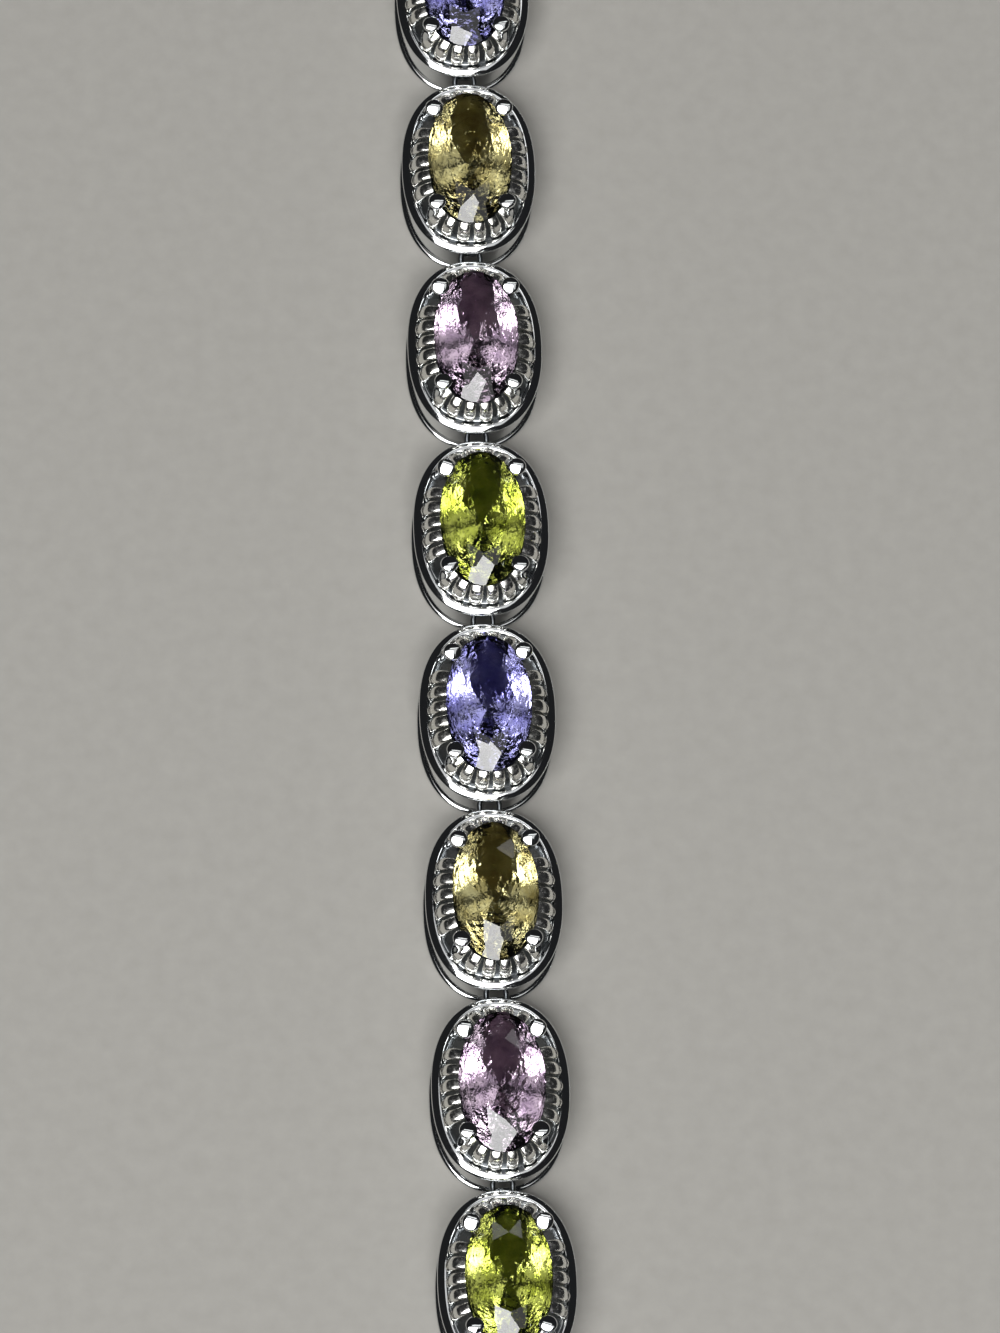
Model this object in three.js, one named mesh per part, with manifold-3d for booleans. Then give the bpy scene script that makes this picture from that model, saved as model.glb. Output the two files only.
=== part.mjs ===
// A tennis bracelet of oval links, lying flat with its stones up. Each link is an open-backed cast
// cup with a ribbed halo that rises to a claw-set oval stone, and a wire loop on each link hooks
// round a post in the next one. Millimetres, +Z up, origin at the middle of the loop on the surface
// that it lies on. The stretch with links 1 to 8 is straight and runs towards -Y.
import * as THREE from "three";
import { mergeVertices } from "three/addons/utils/BufferGeometryUtils.js";
import Module from "manifold-3d";

const wasm = await Module();
wasm.setup();

// Driving dimensions
const STONE = { length: 5.0, width: 3.0, crown: 0.46, pavilion: 1.3, girdleHeight: 2.7 };
const LINK = { length: 6.55, width: 4.8, gap: 0.3, foot: 0.375, wallHeight: 1.66, rimHeight: 1.87 };
const LOOP = { wire: 0.2, bend: 0.35, height: 1.05 };
const POST = { radius: 0.14, inset: 0.17 };
const SLOT = { halfWidth: 0.75, height: 0.6, depth: 0.8 };
const CLASP = { length: 10, width: 4.8, height: 2.4, chamfer: 0.35, corner: 5 };
const CHAIN = { links: 26, straightLinks: 8, endJoints: 5 };
const OVAL_POWER = 2.3; // between an ellipse, 2, and a rectangle
const SIDES = 16;
const FOOT_SIDES = 8; // the hollow back's edge

// The halo has four ribs over each end and five along each side, and is plain at the four claws.
const RIB_RISE = { out: 0.05, up: 0.1 };
const RIB_GROUPS = [
  { middle: 0, ribs: 4, step: 18.5 },
  { middle: 90, ribs: 5, step: 11.5 },
  { middle: 180, ribs: 4, step: 18.5 },
  { middle: 270, ribs: 5, step: 11.5 },
];

// The cup's section, as half lengths and half widths of its oval at each height. The hollow back
// widens from the halo's top down to the foot.
const half = { x: LINK.length / 2, y: LINK.width / 2 };
const CUP = {
  foot: { x: half.x, y: half.y, z: 0 },
  wallTop: { x: half.x, y: half.y, z: LINK.wallHeight },
  rim: { x: half.x - 0.29, y: half.y - 0.29, z: LINK.rimHeight },
  groove: { x: half.x - 0.42, y: half.y - 0.42, z: 1.76 },
  haloTop: { x: STONE.length / 2 - 0.1, y: STONE.width / 2 - 0.08, z: 2.48 },
  footInner: { x: half.x - LINK.foot, y: half.y - LINK.foot, z: 0 },
};

// A claw's sections from its root to its rounded head, which leans over the stone's edge.
const CLAW = [
  { x: 1.95, y: 1.38, z: 1.72, radius: 0.19 },
  { x: 1.82, y: 1.26, z: 3.04, radius: 0.31 },
  { x: 1.81, y: 1.25, z: 3.25, radius: 0.18 },
];
const CLAW_SIDES = 4;

const METAL = { color: 0xc9cbcd, roughness: 0.12, metalness: 1 };
const GEMS = [
  { name: "violet", color: 0x5a4fc0 },
  { name: "peach", color: 0xd9b878 },
  { name: "pink", color: 0xb98fae },
  { name: "green", color: 0x9fb81e },
];

const rad = THREE.MathUtils.degToRad;

// A point of an oval, at an angle that runs round it.
function ovalPoint({ x, y, z }, angle, power = OVAL_POWER) {
  const bulge = (v) => Math.sign(v) * Math.abs(v) ** (2 / power);
  return new THREE.Vector3(x * bulge(Math.cos(rad(angle))), y * bulge(Math.sin(rad(angle))), z);
}

function evenAngles(count) {
  return Array.from({ length: count }, (_, i) => (360 * i) / count);
}

function ovalRing(level, sides = SIDES, power = OVAL_POWER) {
  return evenAngles(sides).map((angle) => ({ angle, point: ovalPoint(level, angle, power) }));
}

// The faces between two rings, each wound counterclockwise seen from the upper one's side. The
// rings may hold different numbers of points: the one whose next point comes first steps on.
function bandFaces(low, high) {
  const angleOf = (ring, i) => ring[i % ring.length].angle + 360 * Math.floor(i / ring.length);
  const indexOf = (ring, i) => ring[i % ring.length].index;
  const faces = [];
  let i = 0;
  let j = 0;
  while (i < low.length || j < high.length) {
    const [a, b] = [indexOf(low, i), indexOf(high, j)];
    const stepLow = i < low.length && angleOf(low, i + 1) <= angleOf(high, j + 1) + 1e-6;
    if (stepLow || j === high.length) {
      i += 1;
      faces.push(a, indexOf(low, i), b);
    } else {
      j += 1;
      faces.push(a, indexOf(high, j), b);
    }
  }
  return faces;
}

// Skins rings of points in turn, and caps both ends or joins the last ring to the first.
function skin(rings, closes = false) {
  const points = [];
  for (const ring of rings) for (const entry of ring) entry.index = points.push(entry.point) - 1;
  const faces = [];
  for (let r = 1; r < rings.length; r++) faces.push(...bandFaces(rings[r - 1], rings[r]));
  const [first, last] = [rings[0], rings.at(-1)];
  if (closes) faces.push(...bandFaces(last, first));
  else {
    for (let i = 1; i < first.length - 1; i++)
      faces.push(first[0].index, first[i + 1].index, first[i].index);
    for (let i = 1; i < last.length - 1; i++)
      faces.push(last[0].index, last[i].index, last[i + 1].index);
  }
  return geometryFrom(points, faces);
}

function geometryFrom(points, faces) {
  return new THREE.BufferGeometry().setFromPoints(points).setIndex(faces);
}

function solidFrom(geometry) {
  const bare = geometry.clone();
  bare.deleteAttribute("normal");
  bare.deleteAttribute("uv");
  const merged = mergeVertices(bare, 1e-5);
  return new wasm.Manifold(
    new wasm.Mesh({
      numProp: 3,
      vertProperties: merged.attributes.position.array,
      triVerts: new Uint32Array(merged.index.array),
    }),
  );
}

function geometryOf(solid) {
  const mesh = solid.getMesh();
  const geometry = new THREE.BufferGeometry();
  geometry.setAttribute("position", new THREE.BufferAttribute(mesh.vertProperties, mesh.numProp));
  geometry.setIndex(new THREE.BufferAttribute(mesh.triVerts, 1));
  const flat = geometry.toNonIndexed();
  flat.computeVertexNormals();
  return flat;
}

// An oval brilliant cut: a round one of radius 1, with its facets plane, drawn out to the oval.
// Round its eight-sided table lie eight stars and sixteen kite halves.
function stoneGeometry() {
  const table = 0.58;
  const spin = (radius, steps, z) => {
    const a = rad(22.5 * steps);
    return new THREE.Vector3(radius * Math.cos(a), radius * Math.sin(a), z);
  };
  const points = [];
  const add = (point) => points.push(point) - 1;
  const tables = Array.from({ length: 8 }, (_, i) => add(spin(table, 2 * i, STONE.crown)));
  const edge = Array.from({ length: 16 }, (_, i) => add(spin(1, i, 0)));
  const culet = add(new THREE.Vector3(0, 0, -STONE.pavilion));
  const faces = [];
  for (let i = 1; i < 7; i++) faces.push(tables[0], tables[i], tables[i + 1]);
  for (let i = 0; i < 8; i++) {
    const here = edge[2 * i];
    const after = edge[2 * i + 1];
    const before = edge[(2 * i + 15) % 16];
    faces.push(tables[i], after, tables[(i + 1) % 8]);
    faces.push(tables[i], before, here, tables[i], here, after);
    faces.push(culet, here, before, culet, after, here);
  }
  const geometry = geometryFrom(points, faces);
  geometry.scale(STONE.length / 2, STONE.width / 2, 1);
  return geometry.translate(0, 0, STONE.girdleHeight);
}

// A ring of the halo, which zigzags over the ribs: each rib's crest is raised, and the valleys
// between ribs and the plain stretch at each claw are not.
function haloRing(level) {
  const { out, up } = RIB_RISE;
  const crest = { x: level.x + out, y: level.y + out, z: level.z + up };
  const ring = RIB_GROUPS.flatMap(({ middle, ribs, step }) =>
    Array.from({ length: 2 * ribs + 1 }, (_, i) => {
      const angle = middle + ((i - ribs) * step) / 2;
      return { angle, point: ovalPoint(i % 2 ? crest : level, angle) };
    }),
  );
  const start = ring.findIndex(({ angle }) => angle >= 0);
  return [...ring.slice(start), ...ring.slice(0, start).map((e) => ({ ...e, angle: e.angle + 360 }))];
}

function claw(sideX, sideY) {
  const rings = CLAW.map((level) =>
    evenAngles(CLAW_SIDES).map((angle) => {
      const x = sideX * level.x + level.radius * Math.cos(rad(angle));
      const y = sideY * level.y + level.radius * Math.sin(rad(angle));
      return { angle, point: new THREE.Vector3(x, y, level.z) };
    }),
  );
  return skin(rings);
}

// The U of wire at a link's tail. Its round end is centred on the next link's post.
function wireLoop(wallX, pivotX) {
  const bends = [-90, -30, 30, 90];
  const path = bends.map((turn) => ({
    x: pivotX + LOOP.bend * Math.cos(rad(turn)),
    y: LOOP.bend * Math.sin(rad(turn)),
    turn,
  }));
  path.unshift({ x: wallX - 0.2, y: -LOOP.bend, turn: -90 });
  path.push({ x: wallX - 0.2, y: LOOP.bend, turn: 90 });
  const rings = path.map(({ x, y, turn }) =>
    evenAngles(5).map((angle) => {
      const off = (-LOOP.wire / 2) * Math.cos(rad(angle));
      const z = LOOP.height + (LOOP.wire / 2) * Math.sin(rad(angle));
      const point = new THREE.Vector3(x + off * Math.cos(rad(turn)), y + off * Math.sin(rad(turn)), z);
      return { angle, point };
    }),
  );
  return skin(rings);
}

function boxSolid(x0, x1, y1, z0, z1) {
  const box = new THREE.BoxGeometry(x1 - x0, 2 * y1, z1 - z0);
  return solidFrom(box.translate((x0 + x1) / 2, 0, (z0 + z1) / 2));
}

// Cuts the slot in a piece's head, stands the post in it, and adds the wire loop at its tail.
function withHinges(solid, halfLength) {
  const low = LOOP.height - SLOT.height / 2;
  const high = LOOP.height + SLOT.height / 2;
  const slot = boxSolid(-halfLength - 1, -halfLength + SLOT.depth, SLOT.halfWidth, low, high);
  const post = new THREE.CylinderGeometry(POST.radius, POST.radius, SLOT.height + 0.2, 5);
  post.rotateX(Math.PI / 2).translate(POST.inset - halfLength, 0, LOOP.height);
  const pivot = halfLength + LINK.gap + POST.inset;
  return solid
    .subtract(slot)
    .add(solidFrom(post))
    .add(solidFrom(wireLoop(halfLength, pivot)));
}

function linkSolid() {
  const cup = solidFrom(
    skin(
      [
        ovalRing(CUP.foot),
        ovalRing(CUP.wallTop),
        ovalRing(CUP.rim),
        haloRing(CUP.groove),
        haloRing(CUP.haloTop),
        ovalRing(CUP.footInner, FOOT_SIDES),
      ],
      true,
    ),
  );
  const claws = [[1, 1], [-1, 1], [-1, -1], [1, -1]].map((side) => solidFrom(claw(...side)));
  return withHinges(wasm.Manifold.union([cup, ...claws]), half.x);
}

// The hidden box clasp: one plain closed case with chamfered edges.
function claspSolid() {
  const { length, width, height, chamfer, corner } = CLASP;
  const level = (inset, z) =>
    ovalRing({ x: length / 2 - inset, y: width / 2 - inset, z }, SIDES, corner);
  const levels = [level(0, 0), level(0, height - chamfer), level(chamfer, height)];
  return withHinges(solidFrom(skin(levels)), length / 2);
}

// Where each piece's post stands and which way the piece heads, round the closed chain. The joints
// at the ends of the straight stretch all turn by one angle, and the far side's joints share the
// rest of the full turn. That angle is found by halving, so that the far end meets the first post.
function chainPlaces() {
  const pitch = LINK.length + LINK.gap;
  const hidden = CHAIN.links - CHAIN.straightLinks;
  const sides = [
    ...Array(CHAIN.straightLinks).fill(pitch),
    ...Array(hidden / 2).fill(pitch),
    CLASP.length + LINK.gap,
    ...Array(hidden / 2).fill(pitch),
  ];
  const joints = hidden + 2;
  const walk = (endTurn) => {
    const farTurn = (360 - 2 * CHAIN.endJoints * endTurn) / (joints - 2 * CHAIN.endJoints);
    let heading = -90;
    const at = new THREE.Vector2(0, 0);
    const places = sides.map((side, i) => {
      const joint = i - CHAIN.straightLinks;
      const far = joint >= CHAIN.endJoints && joint < joints - CHAIN.endJoints;
      if (joint >= 0) heading += far ? farTurn : endTurn;
      const place = { x: at.x, y: at.y, heading };
      at.x += side * Math.cos(rad(heading));
      at.y += side * Math.sin(rad(heading));
      return place;
    });
    return { places, short: at.y };
  };
  let [low, high] = [20, 40];
  for (let i = 0; i < 50; i++) {
    const middle = (low + high) / 2;
    if (walk(middle).short < 0 === walk(low).short < 0) low = middle;
    else high = middle;
  }
  return walk(low).places;
}

const linkShape = geometryOf(linkSolid());
const claspShape = geometryOf(claspSolid());
const stoneShape = geometryOf(solidFrom(stoneGeometry()));

function mesh(name, shape, look) {
  const made = new THREE.Mesh(shape, new THREE.MeshStandardMaterial(look));
  made.name = name;
  return made;
}

// A piece's group stands its post at the place and turns the piece to its heading.
function pieceGroup(place, halfLength, ...meshes) {
  const group = new THREE.Group();
  const toMiddle = halfLength - POST.inset;
  const turn = rad(place.heading);
  group.position.set(place.x + toMiddle * Math.cos(turn), place.y + toMiddle * Math.sin(turn), 0);
  group.rotation.z = turn;
  group.add(...meshes);
  return group;
}

const bracelet = new THREE.Group();
const claspIndex = (CHAIN.links + CHAIN.straightLinks) / 2;
let number = 0;
chainPlaces().forEach((place, i) => {
  if (i === claspIndex) {
    bracelet.add(pieceGroup(place, CLASP.length / 2, mesh("clasp", claspShape, METAL)));
    return;
  }
  const gem = GEMS[number % GEMS.length];
  number += 1;
  const digits = String(number).padStart(2, "0");
  const link = mesh(`link_${digits}`, linkShape, METAL);
  const stoneLook = { color: gem.color, roughness: 0.02, metalness: 0 };
  const stone = mesh(`stone_${digits}_${gem.name}`, stoneShape, stoneLook);
  bracelet.add(pieceGroup(place, half.x, link, stone));
});

bracelet.updateMatrixWorld(true);
const middle = new THREE.Box3().setFromObject(bracelet, true).getCenter(new THREE.Vector3());
bracelet.position.set(-middle.x, -middle.y, 0);

export default bracelet;
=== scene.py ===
import math

import bmesh
import bpy
import numpy as np
from mathutils import Matrix, Vector


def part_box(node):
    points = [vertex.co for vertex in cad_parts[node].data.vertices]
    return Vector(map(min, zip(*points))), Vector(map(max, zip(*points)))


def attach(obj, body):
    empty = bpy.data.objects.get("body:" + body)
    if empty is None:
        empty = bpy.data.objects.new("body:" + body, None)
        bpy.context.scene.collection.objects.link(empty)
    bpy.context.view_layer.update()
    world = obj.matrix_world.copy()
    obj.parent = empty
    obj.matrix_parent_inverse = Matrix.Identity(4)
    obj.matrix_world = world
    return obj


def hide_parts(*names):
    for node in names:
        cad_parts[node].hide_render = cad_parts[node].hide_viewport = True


# Tennis bracelet
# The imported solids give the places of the 26 links, their stones and the clasp. Everything lies
# on the surface at z = 0, and the straight stretch of links 1 to 8 runs towards -Y.
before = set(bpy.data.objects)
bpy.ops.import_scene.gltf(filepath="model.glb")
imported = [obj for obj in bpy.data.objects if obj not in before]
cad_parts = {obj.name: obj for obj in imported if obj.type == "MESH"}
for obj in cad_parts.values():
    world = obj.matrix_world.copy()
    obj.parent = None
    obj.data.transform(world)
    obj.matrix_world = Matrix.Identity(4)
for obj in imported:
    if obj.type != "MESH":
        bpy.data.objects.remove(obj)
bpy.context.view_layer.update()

MM = 0.001
LINK_BEFORE_CLASP = 17

stone_nodes = sorted(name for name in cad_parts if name.startswith("stone_"))
link_nodes = sorted(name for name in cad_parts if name.startswith("link_"))


def node_points(node):
    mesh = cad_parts[node].data
    points = np.empty(len(mesh.vertices) * 3)
    mesh.vertices.foreach_get("co", points)
    return points.reshape(-1, 3)


def box_middle(node):
    low, high = (Vector(corner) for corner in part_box(node))
    return (low + high) / 2


# Each link sits under the middle of its stone and heads along the stone's long axis, towards the
# next piece in the chain. The clasp comes after link 17.
def seat_of(stone_node, next_middle):
    middle = box_middle(stone_node)
    offsets = node_points(stone_node)[:, :2] - np.array(middle[:2])
    tip = offsets[np.argmax((offsets**2).sum(axis=1))]
    onwards = np.array((next_middle - middle)[:2])
    if tip @ onwards < 0:
        tip = -tip
    turn = Matrix.Rotation(math.atan2(tip[1], tip[0]), 4, "Z")
    return Matrix.Translation((middle[0], middle[1], 0)) @ turn


middles = [box_middle(node) for node in stone_nodes]
seats = []
for i, node in enumerate(stone_nodes):
    following = middles[(i + 1) % len(middles)]
    if i + 1 == LINK_BEFORE_CLASP:
        following = box_middle("clasp")
    seats.append(seat_of(node, following))


# Cast links
# Each link is one casting in silver: a deep oval cup, open at the back, with a rounded rim, a
# thin foot and a sloping halo of radial ribs that rises to the stone. Four claws stand in the
# halo's plain corners. A wire loop, soldered on, hooks round a post in the next link's end wall.
LINK_LENGTH = 6.55
LINK_WIDTH = 4.8
OVAL_POWER = 2.3
STATIONS = 120
EDGE_SAMPLES = 4000
EDGE_STEP = 0.01

# The castings are tumbled, polished on a wheel and plated with rhodium. Soft waves from the wheel
# and finer marks from tumbling make the reflections waver a little. Spacings and depths are in
# millimetres, and the tumbling marks are drawn coarser than real ones so that they show.
WHEEL_WAVES = {"spacing": 1.1, "depth": 0.012}
TUMBLING_MARKS = {"spacing": 0.12, "depth": 0.0012, "faintest": 0.35, "strongest": 0.7}


def linear(hex_colour):
    channels = [int(hex_colour[i : i + 2], 16) / 255 for i in (1, 3, 5)]
    curve = [c / 12.92 if c <= 0.04045 else ((c + 0.055) / 1.055) ** 2.4 for c in channels]
    return (*curve, 1.0)


def add_node(material, kind, **inputs):
    """Adds a node, and sets each input named or links it to the socket given."""
    tree = material.node_tree
    node = tree.nodes.new(kind)
    for name, value in inputs.items():
        socket = node.inputs[name.replace("_", " ")]
        if isinstance(value, bpy.types.NodeSocket):
            tree.links.new(value, socket)
        else:
            socket.default_value = value
    return node


def new_material(name):
    material = bpy.data.materials.new(name)
    material.use_nodes = True
    material.node_tree.nodes.clear()
    return material


def finish_material(material, shader):
    output = add_node(material, "ShaderNodeOutputMaterial")
    material.node_tree.links.new(shader.outputs["BSDF"], output.inputs["Surface"])
    return material


def waves_per_metre(spacing_mm):
    return 1 / (spacing_mm * MM)


def rhodium_plate(name, hex_colour, smoothest, roughest):
    material = new_material(name)
    place = add_node(material, "ShaderNodeNewGeometry").outputs["Position"]
    waves = add_node(
        material,
        "ShaderNodeTexNoise",
        Vector=place,
        Scale=waves_per_metre(WHEEL_WAVES["spacing"]),
        Detail=1.0,
    )
    marks = add_node(
        material,
        "ShaderNodeTexNoise",
        Vector=place,
        Scale=waves_per_metre(TUMBLING_MARKS["spacing"]),
        Detail=3.0,
    )
    soft = add_node(
        material,
        "ShaderNodeBump",
        Height=waves.outputs["Fac"],
        Strength=1.0,
        Distance=WHEEL_WAVES["depth"] * MM,
    )
    fine = add_node(
        material,
        "ShaderNodeBump",
        Height=marks.outputs["Fac"],
        Normal=soft.outputs["Normal"],
        Strength=0.5,
        Distance=TUMBLING_MARKS["depth"] * MM,
    )
    rough = add_node(
        material,
        "ShaderNodeMapRange",
        Value=marks.outputs["Fac"],
        From_Min=TUMBLING_MARKS["faintest"],
        From_Max=TUMBLING_MARKS["strongest"],
        To_Min=smoothest,
        To_Max=roughest,
    )
    metal = add_node(
        material,
        "ShaderNodeBsdfPrincipled",
        Base_Color=linear(hex_colour),
        Metallic=1.0,
        Roughness=rough.outputs["Result"],
        Normal=fine.outputs["Normal"],
    )
    return finish_material(material, metal)


# The wheel reaches the outside of the cup, its rim and the claws. There the plate is a bright,
# faintly blue-white mirror.
polished_rhodium = rhodium_plate("polished rhodium plate", "#dcdedf", 0.05, 0.1)

# Between the ribs and at the hinge the wheel can't reach, so the casting keeps its satin skin.
# Its colour is darkened as painted shade, for the shade in these recesses and in the hinge's gap.
satin_rhodium_painted_shade = rhodium_plate("satin rhodium plate darkened as painted shade", "#56595b", 0.26, 0.38)

# The inside of the cup is rough, and its dark grey is painted shade for the deep shade that falls
# inside the cup.
inside_painted_shade = rhodium_plate("cast silver inside the cups painted dark as shade", "#2e3032", 0.4, 0.55)

# The ribs are too small for the wheel and are only tumbled, which leaves a soft skin. Its colour
# is lighter and a little warmer than the polished plate, a painted sheen for the light they catch.
tumbled_rhodium_painted_sheen = rhodium_plate("tumbled rhodium plate lightened as painted sheen", "#f0efea", 0.12, 0.3)

FINISHES = (polished_rhodium, satin_rhodium_painted_shade, tumbled_rhodium_painted_sheen, inside_painted_shade)
POLISHED, SATIN_PAINTED_SHADE, TUMBLED_PAINTED_SHEEN, INSIDE_PAINTED_SHADE = range(len(FINISHES))

# The cup's section: how far in from the outer oval, and how high, in millimetres, from the
# inside of the foot up over the rim and down into the groove round the halo. The rim's crest is
# halfway across it at the ends, and nearer its inner edge along the sides.
CUP_SECTION = [
    (0.375, 0.02),
    (0.34, 0.0),
    (0.04, 0.0),
    (0.01, 0.015),
    (0.0, 0.05),
    (0.004, 0.085),
    (0.015, 0.11),
    (0.035, 0.13),
    (0.06, 0.145),
    (0.085, 0.155),
    (0.095, 0.185),
    (0.09, 0.4),
    (0.035, 1.1),
    (0.004, 1.6),
    (0.0, 1.655),
    (0.01, 1.69),
    (0.03, 1.712),
    (0.08, 1.746),
    (0.13, 1.778),
    (0.175, 1.802),
    (0.205, 1.812),
    (0.235, 1.813),
    (0.265, 1.805),
    (0.305, 1.788),
    (0.35, 1.765),
    (0.395, 1.74),
    (0.43, 1.718),
    (0.45, 1.71),
    (0.46, 1.72),
]
INSET_AT_ENDS = (0.0, 0.22, 0.45, 1.0)
INSET_ALONG_SIDES = (0.0, 0.3, 0.37, 0.92)
HALO_TOP = {"half_length": 2.42, "half_width": 1.44, "height": 2.5}
SEAT = {"half_length": 2.3, "half_width": 1.33, "height": 2.44}
LINER = {"half_length": 2.5, "half_width": 1.62, "height": 1.9}


def oval_edge(half_length, half_width, t, power=OVAL_POWER):
    c, s = np.cos(t), np.sin(t)
    x = half_length * np.sign(c) * np.abs(c) ** (2 / power)
    y = half_width * np.sign(s) * np.abs(s) ** (2 / power)
    return np.stack([x, y], axis=-1)


def run_along(edge):
    """How far along the edge each of its points is."""
    return np.concatenate([[0], np.cumsum(np.hypot(*np.diff(edge, axis=0).T))])


def oval_angles(half_length, half_width, count):
    """Angles that step evenly along the oval's edge."""
    t = np.linspace(0, 2 * np.pi, EDGE_SAMPLES + 1)
    run = run_along(oval_edge(half_length, half_width, t))
    return np.interp(np.linspace(0, run[-1], count, endpoint=False), run, t)


def at_height(edge, height):
    return np.column_stack([edge, np.full(len(edge), height)])


def skin(rings, closes=False):
    """Vertices and faces of a skin over rings of equally many points, capped unless it closes."""
    count = len(rings[0])
    faces = []
    for r in range(len(rings) if closes else len(rings) - 1):
        low = r * count
        high = (r + 1) % len(rings) * count
        for i in range(count):
            j = (i + 1) % count
            faces.append((low + i, low + j, high + j, high + i))
    if not closes:
        last = (len(rings) - 1) * count
        faces.append(tuple(range(count - 1, -1, -1)))
        faces.append(tuple(range(last, last + count)))
    return np.vstack(rings), faces


def mesh_of(name, shells):
    vertices = []
    faces = []
    for points, shell_faces in shells:
        start = len(vertices)
        vertices.extend((np.asarray(points) * MM).tolist())
        faces.extend([tuple(start + i for i in face) for face in shell_faces])
    mesh = bpy.data.meshes.new(name)
    mesh.from_pydata(vertices, [], faces)
    mesh.update()
    return mesh


def soften(mesh, sharpest=40):
    """Shades the mesh smooth, and keeps the edges that turn more than the angle given."""
    work = bmesh.new()
    work.from_mesh(mesh)
    bmesh.ops.recalc_face_normals(work, faces=work.faces)
    for face in work.faces:
        face.smooth = True
    for edge in work.edges:
        edge.smooth = edge.calc_face_angle(0) < math.radians(sharpest)
    work.to_mesh(mesh)
    work.free()


def add_finishes(mesh):
    for material in FINISHES:
        mesh.materials.append(material)


def give_finish(mesh, finish):
    add_finishes(mesh)
    for face in mesh.polygons:
        face.material_index = finish


def inset_halves(inset):
    """Half length and half width of the link's oval, where its inset at the ends is as given."""
    side_inset = np.interp(inset, INSET_AT_ENDS, INSET_ALONG_SIDES)
    return LINK_LENGTH / 2 - inset, LINK_WIDTH / 2 - side_inset


def cup_shell():
    t = oval_angles(LINK_LENGTH / 2, LINK_WIDTH / 2, STATIONS)
    rings = [at_height(oval_edge(*inset_halves(inset), t), z) for inset, z in CUP_SECTION]
    for level in (HALO_TOP, SEAT, LINER):
        edge = oval_edge(level["half_length"], level["half_width"], t)
        rings.append(at_height(edge, level["height"]))
    return skin(rings, closes=True)


# The ribs stand in four groups, at the ends and along the sides, 0.55 mm apart. Each is a small
# rounded loaf that stands nearly upright at its foot and bends over to the stone, with a bead at
# its outer end. They come from wax cut by hand, so they differ in size, also from link to link.
RIB_SPACING = 0.55
END_RIBS = 6
SIDE_RIBS = 5
RIB_OUTER_WIDTH = 0.5
RIB_INNER_WIDTH = 0.44
RIB_HEIGHT = 0.17
RIB_HEIGHT_LOST = 0.35
RIB_FULLNESS = 0.8
RIB_UPRIGHT = 0.56
RIB_BEND = 2.5
RIB_LEAN = 0.05
RIB_FOOT_INSET = 0.55
RIB_FOOT_HEIGHT = 1.8
RIB_REACH = 0.99
RIB_PARTS = 12
RIB_ARCH_POINTS = 13
RIB_ROOT_DEPTH = 0.2
RIB_ROOT_WIDTH = 0.7
CUT_SMALLEST = 0.84
CUT_LARGEST = 1.08
BEAD_RADIUS = 0.21
BEAD_RISE = 0.12
BEAD_TILT = 0.35
BEAD_HEIGHT = 1.95
BEAD_SIDES = 18
BEAD_LATITUDES = (-50, -30, -10, 10, 28, 45, 60, 74, 86)
HALVINGS = 40


def outward_at(half_length, half_width, angle):
    steps = (-EDGE_STEP, EDGE_STEP)
    near, far = (oval_edge(half_length, half_width, angle + step) for step in steps)
    along = (far - near) / np.linalg.norm(far - near)
    return np.array([along[1], -along[0]])


def run_to_oval(start, direction, half_length, half_width):
    """How far it is from the start, in the direction, to the oval of the half sizes given."""
    low, high = -1.0, 1.0
    for _ in range(HALVINGS):
        middle = (low + high) / 2
        x, y = start + direction * middle
        if abs(x / half_length) ** OVAL_POWER + abs(y / half_width) ** OVAL_POWER < 1:
            low = middle
        else:
            high = middle
    return middle


def rib_lines():
    """The foot and the top of each rib, on a line square to the oval halfway up the halo."""
    outer = inset_halves(RIB_FOOT_INSET)
    inner = (HALO_TOP["half_length"], HALO_TOP["half_width"])
    halfway = ((outer[0] + inner[0]) / 2, (outer[1] + inner[1]) / 2)
    t = np.linspace(-np.pi, 3 * np.pi, 2 * EDGE_SAMPLES + 1)
    run = run_along(oval_edge(*halfway, t))
    lines = []
    for quarter in range(4):
        ribs = SIDE_RIBS if quarter % 2 else END_RIBS
        start = np.interp(quarter * np.pi / 2, t, run)
        for k in range(ribs):
            offset = (k - (ribs - 1) / 2) * RIB_SPACING
            angle = float(np.interp(start + offset, run, t))
            middle = oval_edge(*halfway, angle)
            outward = outward_at(*halfway, angle)
            foot = middle + outward * run_to_oval(middle, outward, *outer)
            top = middle + outward * run_to_oval(middle, outward, *inner)
            lines.append((foot, top))
    return lines


def rib_shell(foot, top, size):
    foot = np.array([*foot, RIB_FOOT_HEIGHT])
    top = np.array([*top, HALO_TOP["height"]])
    inward = np.array([*(top - foot)[:2], 0.0])
    inward /= np.linalg.norm(inward)
    across = np.array([-inward[1], inward[0], 0.0])
    elbow = foot + inward * RIB_LEAN + np.array([0, 0, RIB_UPRIGHT])
    parts = np.linspace(0, RIB_REACH, RIB_PARTS)
    shares = np.stack([(1 - parts) ** 2, 2 * RIB_BEND * parts * (1 - parts), parts**2], axis=1)
    spine = shares @ np.array([foot, elbow, top]) / shares.sum(axis=1, keepdims=True)
    slopes = np.gradient(spine, axis=0)
    rings = []
    for part, middle, slope in zip(parts, spine, slopes):
        out = np.cross(slope / np.linalg.norm(slope), across)
        out *= -np.sign(out @ inward)
        half_width = size / 2 * (RIB_OUTER_WIDTH + (RIB_INNER_WIDTH - RIB_OUTER_WIDTH) * part)
        height = size * RIB_HEIGHT * (1 - RIB_HEIGHT_LOST * part)
        ring = []
        for a in np.linspace(0, math.pi, RIB_ARCH_POINTS):
            sideways = math.copysign(abs(math.cos(a)) ** RIB_FULLNESS, math.cos(a))
            reach = across * sideways * half_width + out * math.sin(a) ** RIB_FULLNESS * height
            ring.append(middle + reach)
        for side in (-1, 1):
            root_side = across * half_width * RIB_ROOT_WIDTH * side
            ring.append(middle - out * RIB_ROOT_DEPTH + root_side)
        rings.append(np.array(ring))
    return skin(rings)


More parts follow.
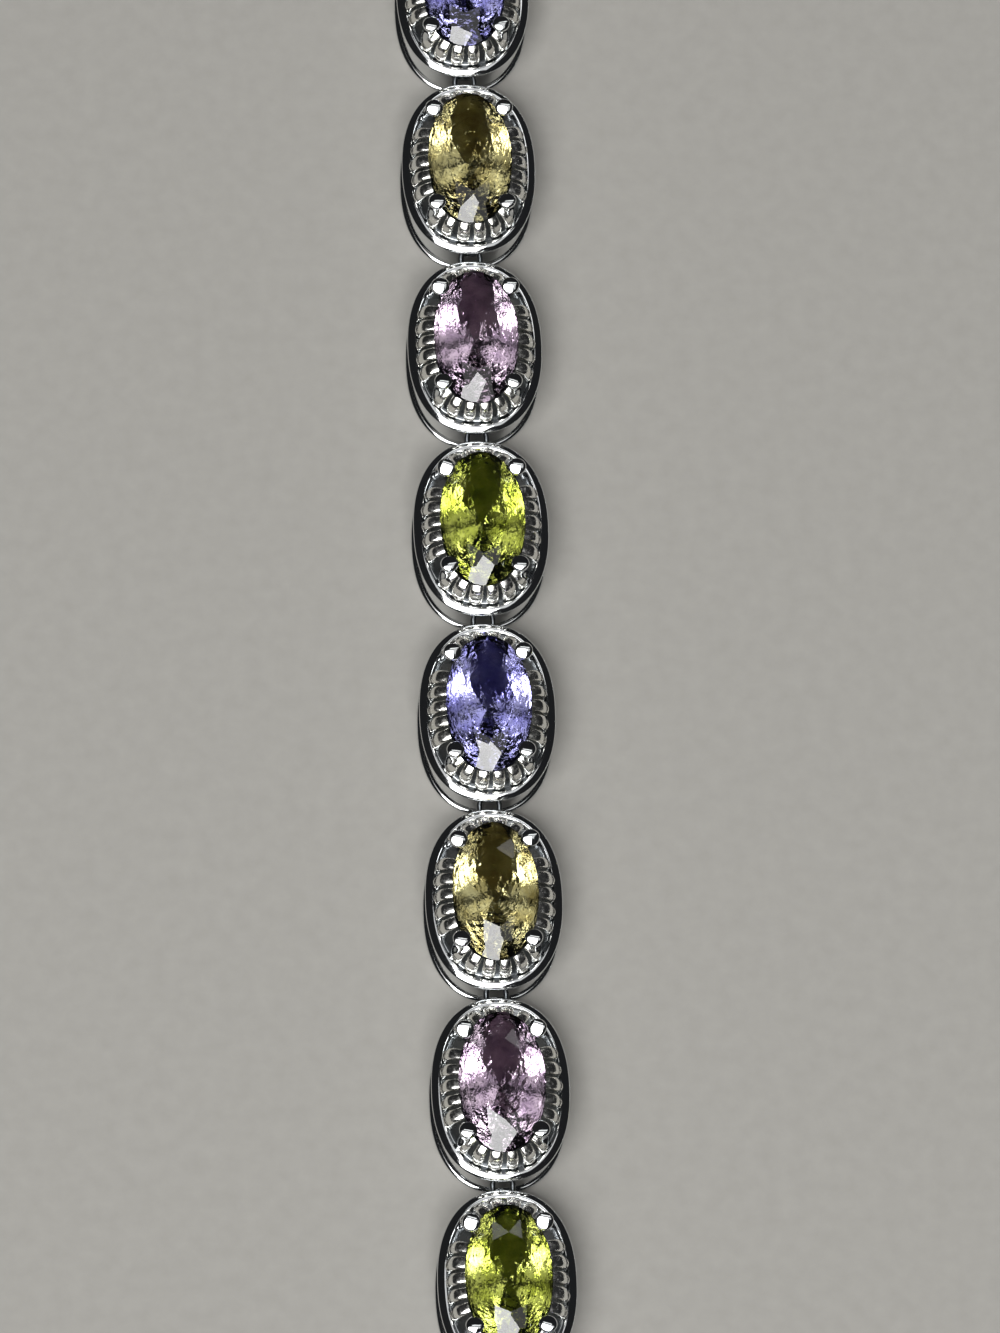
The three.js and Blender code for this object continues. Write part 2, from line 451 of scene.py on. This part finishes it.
def bead_shell(foot, size):
    radius = BEAD_RADIUS * size
    rise = BEAD_RISE * size
    turn = np.linspace(0, 2 * np.pi, BEAD_SIDES, endpoint=False)
    rings = []
    for a in np.radians(BEAD_LATITUDES):
        ring = foot + radius * math.cos(a) * np.column_stack([np.cos(turn), np.sin(turn)])
        tilted = BEAD_HEIGHT + rise * math.sin(a) - BEAD_TILT * (ring[:, 0] - foot[0])
        rings.append(np.column_stack([ring, tilted]))
    return skin(rings)


# A claw leans in from the halo's corner and is bent over the stone's edge. Its head is filed by
# hand to a low roof whose ridge runs across the link, a little turned and shifted on each claw.
# One slope of it catches the light and the other stays dark.
CLAW_ROOT = (1.95, 1.38)
CLAW_TIP = (1.8, 1.25)
CLAW_SHANK = [(1.7, 0.25), (2.3, 0.25), (2.7, 0.26), (2.85, 0.28), (2.95, 0.3), (3.02, 0.315)]
CLAW_RIDGE = 3.245
CLAW_PITCH = 0.52
CLAW_ROUNDING = 0.05
CLAW_RIDGE_SOFTNESS = 0.05
CLAW_SIDE_FALL = 0.6
CLAW_RADIUS = 0.32
CLAW_SIDES = 24
CLAW_EDGE_RINGS = 5
CLAW_ROOF_RINGS = (0.85, 0.7, 0.55, 0.4, 0.25, 0.1, 0.02)
RIDGE_TURN = 0.35
RIDGE_OUTWARD = 0.08
RIDGE_SHIFT = (-0.04, 0.06)


def claw_roof(x, y, radius, turn, drop, filed):
    along = radius * np.cos(turn - filed["turn"]) - filed["shift"]
    across = radius * np.sin(turn - filed["turn"])
    fall = CLAW_PITCH * (np.hypot(along, CLAW_RIDGE_SOFTNESS) - CLAW_RIDGE_SOFTNESS)
    fall += CLAW_SIDE_FALL * across**2
    ring = [x + radius * np.cos(turn), y + radius * np.sin(turn), CLAW_RIDGE - fall - drop]
    return np.column_stack(ring)


def claw_shell(side_x, side_y, hand):
    turn = np.linspace(0, 2 * np.pi, CLAW_SIDES, endpoint=False)
    lowest, highest = CLAW_SHANK[0][0], CLAW_SHANK[-1][0]
    rings = []
    for z, radius in CLAW_SHANK:
        lean = (z - lowest) / (highest - lowest)
        x = side_x * (CLAW_ROOT[0] + (CLAW_TIP[0] - CLAW_ROOT[0]) * lean)
        y = side_y * (CLAW_ROOT[1] + (CLAW_TIP[1] - CLAW_ROOT[1]) * lean)
        ring = np.column_stack([x + radius * np.cos(turn), y + radius * np.sin(turn)])
        rings.append(at_height(ring, z))
    filed = {"turn": hand.uniform(-RIDGE_TURN, RIDGE_TURN)}
    filed["shift"] = side_x * RIDGE_OUTWARD + hand.uniform(*RIDGE_SHIFT)
    for a in np.linspace(0, math.pi / 2, CLAW_EDGE_RINGS):
        edge = CLAW_RADIUS - CLAW_ROUNDING * (1 - math.cos(a))
        rings.append(claw_roof(x, y, edge, turn, CLAW_ROUNDING * (1 - math.sin(a)), filed))
    for part in CLAW_ROOF_RINGS:
        rings.append(claw_roof(x, y, edge * part, turn, 0.0, filed))
    return skin(rings)


# The hinge: a slot in the head's end wall with a post across it, and the tail's wire loop. The
# wire's ends and the post's ends are sunk into the walls that they are soldered to.
WIRE = 0.2
WIRE_SIDES = 12
LOOP_BEND = 0.35
LOOP_BEND_POINTS = 13
LOOP_ROOT = 0.2
HINGE_HEIGHT = 1.05
GAP = 0.3
POST_RADIUS = 0.14
POST_SIDES = 16
POST_ROOT = 0.1
POST_INSET = 0.17
SLOT_HALF_WIDTH = 0.75
SLOT_TALL = 0.6
SLOT_DEPTH = 0.8
SLOT_OVERCUT = 1


def tube_shell(path, directions, radius):
    rings = []
    turn = np.linspace(0, 2 * np.pi, WIRE_SIDES, endpoint=False)
    for place, direction in zip(path, directions):
        side = np.array([-direction[1], direction[0], 0.0])
        ring = []
        for a in turn:
            up = np.array([0, 0, radius * math.sin(a)])
            ring.append(place + side * radius * math.cos(a) + up)
        rings.append(np.array(ring))
    return skin(rings)


def wire_loop_shell(half_length):
    pivot = half_length + GAP + POST_INSET
    start = half_length - LOOP_ROOT
    path = [np.array([start, -LOOP_BEND, HINGE_HEIGHT])]
    directions = [(1.0, 0.0)]
    for a in np.linspace(-math.pi / 2, math.pi / 2, LOOP_BEND_POINTS):
        place = (pivot + LOOP_BEND * math.cos(a), LOOP_BEND * math.sin(a), HINGE_HEIGHT)
        path.append(np.array(place))
        directions.append((-math.sin(a), math.cos(a)))
    path.append(np.array([start, LOOP_BEND, HINGE_HEIGHT]))
    directions.append((-1.0, 0.0))
    return tube_shell(path, directions, WIRE / 2)


def post_shell(half_length):
    turn = np.linspace(0, 2 * np.pi, POST_SIDES, endpoint=False)
    x = POST_INSET - half_length + POST_RADIUS * np.cos(turn)
    ring = np.column_stack([x, POST_RADIUS * np.sin(turn)])
    reach = SLOT_TALL / 2 + POST_ROOT
    return skin([at_height(ring, HINGE_HEIGHT - reach), at_height(ring, HINGE_HEIGHT + reach)])


def hinge_mesh(half_length):
    hinge = mesh_of("hinge", [wire_loop_shell(half_length), post_shell(half_length)])
    # The hinge's satin plate is darkened as painted shade, for the shade in the gap between links.
    give_finish(hinge, SATIN_PAINTED_SHADE)
    soften(hinge, sharpest=50)
    return hinge


def cut_slot(mesh, half_length):
    """Cuts the hinge's slot through the end wall at the piece's head."""
    low = (-half_length - SLOT_OVERCUT, -SLOT_HALF_WIDTH, HINGE_HEIGHT - SLOT_TALL / 2)
    high = (-half_length + SLOT_DEPTH, SLOT_HALF_WIDTH, HINGE_HEIGHT + SLOT_TALL / 2)
    ring = [(low[0], low[1]), (high[0], low[1]), (high[0], high[1]), (low[0], high[1])]
    rings = [at_height(np.array(ring), z) for z in (low[2], high[2])]
    cutter = bpy.data.objects.new("slot cutter", mesh_of("slot cutter", [skin(rings)]))
    body = bpy.data.objects.new("slot body", mesh)
    for obj in (cutter, body):
        bpy.context.scene.collection.objects.link(obj)
    cut = body.modifiers.new("slot", "BOOLEAN")
    cut.operation = "DIFFERENCE"
    cut.object = cutter
    cut.solver = "EXACT"
    shape = body.evaluated_get(bpy.context.evaluated_depsgraph_get())
    slotted = bpy.data.meshes.new_from_object(shape)
    for obj in (cutter, body):
        bpy.data.objects.remove(obj)
    return slotted


def joined(name, *meshes):
    work = bmesh.new()
    for mesh in meshes:
        work.from_mesh(mesh)
    whole = bpy.data.meshes.new(name)
    work.to_mesh(whole)
    work.free()
    add_finishes(whole)
    return whole


def cup_mesh():
    """The cup with its slot: polished outside and on the rim, painted shade on the satin halo and
    inside.
    """
    cup = mesh_of("cup", [cup_shell()])
    add_finishes(cup)
    first_satin_painted_shade = (len(CUP_SECTION) - 1) * STATIONS
    first_inside_painted_shade = (len(CUP_SECTION) + 1) * STATIONS
    for face in cup.polygons:
        face.material_index = POLISHED
        # The halo gets the satin plate, darkened as painted shade for the shade between the ribs.
        if face.index >= first_satin_painted_shade:
            face.material_index = SATIN_PAINTED_SHADE
        # The inside of the cup is painted dark grey as shade.
        if face.index >= first_inside_painted_shade:
            face.material_index = INSIDE_PAINTED_SHADE
    soften(cup)
    return cut_slot(cup, LINK_LENGTH / 2)


def link_mesh(hand):
    lines = rib_lines()
    sizes = hand.uniform(CUT_SMALLEST, CUT_LARGEST, len(lines))
    shells = [rib_shell(*line, size) for line, size in zip(lines, sizes)]
    shells += [bead_shell(line[0], size) for line, size in zip(lines, sizes)]
    ribs = mesh_of("ribs", shells)
    # The ribs' plate is lightened as a painted sheen.
    give_finish(ribs, TUMBLED_PAINTED_SHEEN)
    soften(ribs, sharpest=50)
    claws = mesh_of("claws", [claw_shell(x, y, hand) for x in (-1, 1) for y in (-1, 1)])
    give_finish(claws, POLISHED)
    soften(claws, sharpest=50)
    return joined("oval link", open_cup, ribs, claws, link_hinge)


def place_piece(name, mesh, seat, node):
    seated = mesh.copy()
    seated.transform(seat)
    piece = bpy.data.objects.new(name, seated)
    bpy.context.scene.collection.objects.link(piece)
    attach(piece, "root")
    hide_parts(node)
    return piece


open_cup = cup_mesh()
link_hinge = hinge_mesh(LINK_LENGTH / 2)
link_hand = np.random.default_rng(5)
for node, seat in zip(link_nodes, seats):
    place_piece(f"oval_{node}", link_mesh(link_hand), seat, node)


# Stones
# Each is an oval brilliant cut, 5 by 3 mm. They are ground flat by flat and polished, so every
# facet is a plane. The chart gives each tier of flats as a lapidary's chart does, on a round stone
# of radius 1 that the oval is drawn out from: how many flats go round, how far the first is turned,
# as a part of the step between them, its rise per unit of radius, and where it crosses the
# upright line at a given radius. The flats are cut by eye, so each is a little off its tier.
STONE_LENGTH = 5.0
STONE_WIDTH = 3.0
GIRDLE_Z = 2.7
TABLE_Z = 0.46
GIRDLE_FLATS = 72
SAME_CORNER = 2e-4
SAME_FACET_ANGLE = 0.6
CUT_BY_EYE = {"turn": 0.16, "rise": 0.05, "z": 0.006}
CUTTING_CHART = [
    {"tier": "crown mains", "flats": 8, "turn": 0.0, "rise": 1.02, "radius": 1.0, "z": 0.03},
    {"tier": "stars", "flats": 8, "turn": 0.5, "rise": 0.72, "radius": 0.536, "z": 0.46},
    {"tier": "upper halves", "flats": 16, "turn": 0.5, "rise": 1.28, "radius": 0.981, "z": 0.03},
    {"tier": "lower halves", "flats": 24, "turn": 0.5, "rise": -1.66, "radius": 0.985, "z": -0.03},
    {"tier": "lower breaks", "flats": 32, "turn": 0.0, "rise": -1.47, "radius": 0.9, "z": -0.175},
    {"tier": "middle breaks", "flats": 24, "turn": 0.5, "rise": -1.31, "radius": 0.66, "z": -0.515},
    {"tier": "culet breaks", "flats": 16, "turn": 0.0, "rise": -1.19, "radius": 0.42, "z": -0.815},
    {"tier": "culet mains", "flats": 8, "turn": 0.5, "rise": -1.06, "radius": 0.0, "z": -1.3},
]


def chart_planes(hand):
    """Each flat as the plane n . p = 1."""
    planes = [np.array([0, 0, 1 / TABLE_Z])]
    for k in range(GIRDLE_FLATS):
        turn = 2 * math.pi * k / GIRDLE_FLATS
        planes.append(np.array([math.cos(turn), math.sin(turn), 0.0]))
    for tier in CUTTING_CHART:
        for k in range(tier["flats"]):
            off = hand.uniform(-1, 1, 3)
            turn = 2 * math.pi * (k + tier["turn"] + CUT_BY_EYE["turn"] * off[0]) / tier["flats"]
            rise = tier["rise"] * (1 + CUT_BY_EYE["rise"] * off[1])
            facing = math.copysign(1, rise)
            normal = np.array([abs(rise) * math.cos(turn), abs(rise) * math.sin(turn), facing])
            distance = abs(rise) * tier["radius"] + facing * tier["z"]
            distance += CUT_BY_EYE["z"] * off[2]
            planes.append(normal / distance)
    return planes


def hull_of(points):
    work = bmesh.new()
    for point in points:
        work.verts.new(point)
    hull = bmesh.ops.convex_hull(work, input=work.verts)
    inside = {v for v in hull["geom_interior"] if isinstance(v, bmesh.types.BMVert)}
    bmesh.ops.delete(work, geom=list(inside), context="VERTS")
    return work


def stone_mesh(hand):
    """The stone as its planes leave it: each face of their hull gives one of its corners."""
    planes = chart_planes(hand)
    dual = hull_of(planes)
    corners = []
    for face in dual.faces:
        trio = np.array([vertex.co[:] for vertex in face.verts])
        corners.append(np.linalg.solve(trio, np.ones(3)))
    dual.free()
    stone = hull_of(corners)
    bmesh.ops.remove_doubles(stone, verts=stone.verts, dist=SAME_CORNER)
    bmesh.ops.dissolve_limit(
        stone,
        angle_limit=math.radians(SAME_FACET_ANGLE),
        verts=stone.verts,
        edges=stone.edges,
    )
    bmesh.ops.recalc_face_normals(stone, faces=stone.faces)
    size = (STONE_LENGTH / 2 * MM, STONE_WIDTH / 2 * MM, MM)
    bmesh.ops.scale(stone, verts=stone.verts, vec=size)
    bmesh.ops.translate(stone, verts=stone.verts, vec=(0, 0, GIRDLE_Z * MM))
    mesh = bpy.data.meshes.new("oval brilliant")
    stone.to_mesh(mesh)
    stone.free()
    return mesh


# The stones are clear crystal with a mirror polish. Cloudy zones inside make the colour pale here
# and deep there. Growth lines break up what the lower facets mirror into fine sparkles, and are
# drawn as a shallow relief on those facets alone, so the table and crown stay smooth.
COLOUR_ZONES = {"spacing": 0.7, "palest": 0.38, "deepest": 0.62}
GROWTH_LINES = {"spacing": 0.33, "depth": 0.042, "start_below": 0.04, "full_below": 0.1}


def polished_stone(name, pale, deep, ior):
    material = new_material(name)
    place = add_node(material, "ShaderNodeNewGeometry").outputs["Position"]
    clouds = add_node(
        material,
        "ShaderNodeTexNoise",
        Vector=place,
        Scale=waves_per_metre(COLOUR_ZONES["spacing"]),
        Detail=4.0,
    )
    depth = add_node(
        material,
        "ShaderNodeMapRange",
        Value=clouds.outputs["Fac"],
        From_Min=COLOUR_ZONES["palest"],
        From_Max=COLOUR_ZONES["deepest"],
    )
    colour = add_node(
        material,
        "ShaderNodeMixRGB",
        Fac=depth.outputs["Result"],
        Color1=linear(pale),
        Color2=linear(deep),
    )
    height = add_node(material, "ShaderNodeSeparateXYZ", Vector=place).outputs["Z"]
    below_girdle = add_node(
        material,
        "ShaderNodeMapRange",
        Value=height,
        From_Min=(GIRDLE_Z - GROWTH_LINES["full_below"]) * MM,
        From_Max=(GIRDLE_Z - GROWTH_LINES["start_below"]) * MM,
        To_Min=1.0,
        To_Max=0.0,
    )
    lines = add_node(
        material,
        "ShaderNodeTexNoise",
        Vector=place,
        Scale=waves_per_metre(GROWTH_LINES["spacing"]),
        Detail=2.0,
    )
    growth = add_node(
        material,
        "ShaderNodeBump",
        Height=lines.outputs["Fac"],
        Strength=below_girdle.outputs["Result"],
        Distance=GROWTH_LINES["depth"] * MM,
    )
    stone = add_node(
        material,
        "ShaderNodeBsdfPrincipled",
        Normal=growth.outputs["Normal"],
        Base_Color=colour.outputs["Color"],
        Roughness=0.0,
        IOR=ior,
        Transmission_Weight=1.0,
    )
    return finish_material(material, stone)


# Tanzanite is blue-violet, topaz a pale sand colour, pink tourmaline a dusty lilac and peridot a
# yellow olive green. Each has its own refractive index.
stone_materials = {
    "violet": polished_stone("polished tanzanite", "#b4b3e4", "#6f6db6", 1.69),
    "peach": polished_stone("polished topaz", "#ccc692", "#948750", 1.62),
    "pink": polished_stone("polished pink tourmaline", "#dcc7d7", "#a089a3", 1.64),
    "green": polished_stone("polished peridot", "#cad16c", "#8f9a30", 1.67),
}
stone_hand = np.random.default_rng(7)
for node, seat in zip(stone_nodes, seats):
    gem = node.split("_")[-1]
    stone = place_piece(f"oval_{node}", stone_mesh(stone_hand), seat, node)
    stone.data.materials.append(stone_materials[gem])


# Clasp
# The real one lies outside the picture. This is a plain box clasp: a closed case of folded and
# soldered silver sheet with softened edges, tumbled and plated like the ribs, with the same hinge
# parts as a link. Its outline is an oval like a link's, but nearer to a rectangle.
CLASP_LENGTH = 10.0
CLASP_WIDTH = 4.8
CLASP_HEIGHT = 2.4
CLASP_EDGE = 0.35
CLASP_EDGE_RINGS = 7
CLASP_POWER = 5.0
CLASP_STATIONS = 96
CLASP_FOOT = [(0.12, 0.0), (0.04, 0.03), (0.0, 0.1)]


def clasp_mesh():
    half = (CLASP_LENGTH / 2, CLASP_WIDTH / 2)
    t = oval_angles(*half, CLASP_STATIONS)
    section = list(CLASP_FOOT)
    for a in np.linspace(0, math.pi / 2, CLASP_EDGE_RINGS):
        inset = CLASP_EDGE * (1 - math.cos(a))
        section.append((inset, CLASP_HEIGHT - CLASP_EDGE * (1 - math.sin(a))))
    rings = []
    for inset, z in section:
        edge = oval_edge(half[0] - inset, half[1] - inset, t, CLASP_POWER)
        rings.append(at_height(edge, z))
    case = mesh_of("clasp case", [skin(rings)])
    # The case has the ribs' plate, lightened as a painted sheen.
    give_finish(case, TUMBLED_PAINTED_SHEEN)
    soften(case)
    return joined("box clasp", cut_slot(case, half[0]), hinge_mesh(half[0]))


clasp_heading = Matrix.Rotation(math.pi / 2, 4, "Z")
clasp_y = node_points("clasp")[:, 1].min() + CLASP_LENGTH / 2 * MM
clasp_seat = Matrix.Translation((box_middle("clasp").x, clasp_y, 0)) @ clasp_heading
place_piece("box_clasp", clasp_mesh(), clasp_seat, "clasp")


# Surface
# The bracelet lies on a plain board with a matt pale grey paint. The roller leaves a fine grain,
# about 0.6 mm across, that makes the grey a little uneven and its sheen soft.
SURFACE_HALF = 1
PAINT_GRAIN = {"spacing": 0.6, "depth": 0.01}


def painted_board():
    material = new_material("matt painted board")
    place = add_node(material, "ShaderNodeNewGeometry").outputs["Position"]
    grain = add_node(
        material,
        "ShaderNodeTexNoise",
        Vector=place,
        Scale=waves_per_metre(PAINT_GRAIN["spacing"]),
        Detail=3.0,
    ).outputs["Fac"]
    colour = add_node(
        material,
        "ShaderNodeMixRGB",
        Fac=grain,
        Color1=linear("#8b8984"),
        Color2=linear("#979590"),
    )
    relief = add_node(
        material,
        "ShaderNodeBump",
        Height=grain,
        Strength=0.4,
        Distance=PAINT_GRAIN["depth"] * MM,
    )
    board = add_node(
        material,
        "ShaderNodeBsdfPrincipled",
        Base_Color=colour.outputs["Color"],
        Roughness=0.9,
        Normal=relief.outputs["Normal"],
    )
    return finish_material(material, board)


surface_mesh = bpy.data.meshes.new("pale surface")
corners = [(x * SURFACE_HALF, y * SURFACE_HALF, 0) for x, y in ((-1, -1), (1, -1), (1, 1), (-1, 1))]
surface_mesh.from_pydata(corners, [], [(0, 1, 2, 3)])
surface_mesh.materials.append(painted_board())
pale_surface = bpy.data.objects.new("pale_surface", surface_mesh)
bpy.context.scene.collection.objects.link(pale_surface)


# Light
# One large softbox stands on the camera's side, high up, with a dimmer one overhead and another
# behind. The room round them is dark, which gives the polished rims their black and white bands.
# Sizes and distances are in metres, angles in degrees and power in watts.
def direction_to(azimuth, elevation):
    """From the bracelet to a place at the azimuth, counted from -Y, and the elevation given."""
    az, el = math.radians(azimuth), math.radians(elevation)
    return Vector((math.sin(az) * math.cos(el), -math.cos(az) * math.cos(el), math.sin(el)))


def softbox(name, azimuth, elevation, distance, width, height, power):
    light = bpy.data.lights.new(name, "AREA")
    light.shape = "RECTANGLE"
    light.size = width
    light.size_y = height
    light.energy = power
    lamp = bpy.data.objects.new(name, light)
    bpy.context.scene.collection.objects.link(lamp)
    away = direction_to(azimuth, elevation)
    lamp.location = away * distance
    lamp.rotation_euler = away.to_track_quat("Z", "Y").to_euler()


softbox("near softbox", -24, 56, distance=0.6, width=0.5, height=0.36, power=5.1)
softbox("overhead softbox", -12, 82, distance=0.7, width=0.8, height=0.5, power=1.0)
softbox("back softbox", 168, 51, distance=0.7, width=0.5, height=0.3, power=0.65)

room = bpy.data.worlds.new("dim room")
room.use_nodes = True
room.node_tree.nodes["Background"].inputs["Color"].default_value = linear("#8a8c90")
room.node_tree.nodes["Background"].inputs["Strength"].default_value = 0.06
bpy.context.scene.world = room
bpy.context.scene.view_settings.view_transform = "Standard"


# Camera
# It looks down at links 2 to 7 from the -Y side, rolled so that the row leans as in the picture.
TARGET = Vector((-17.507, -1.423, 1.6)) * MM
CAMERA_AZIMUTH = -11.53
CAMERA_ELEVATION = 70.99
CAMERA_ROLL = 10.15
CAMERA_DISTANCE = 272.2 * MM
FOCAL_PIXELS = 7752
FRAME_HEIGHT = 1333

lens = bpy.data.cameras.new("camera")
lens.sensor_fit = "VERTICAL"
lens.sensor_height = 24
lens.lens = lens.sensor_height * FOCAL_PIXELS / FRAME_HEIGHT
lens.clip_start = 0.01
camera = bpy.data.objects.new("camera", lens)
bpy.context.scene.collection.objects.link(camera)
back = direction_to(CAMERA_AZIMUTH, CAMERA_ELEVATION)
right = Vector((0, 0, 1)).cross(back).normalized()
up = back.cross(right)
roll = math.radians(CAMERA_ROLL)
camera_right = right * math.cos(roll) + up * math.sin(roll)
camera_up = up * math.cos(roll) - right * math.sin(roll)
axes = Matrix((camera_right, camera_up, back)).transposed()
camera.matrix_world = Matrix.Translation(TARGET + back * CAMERA_DISTANCE) @ axes.to_4x4()
bpy.context.scene.camera = camera
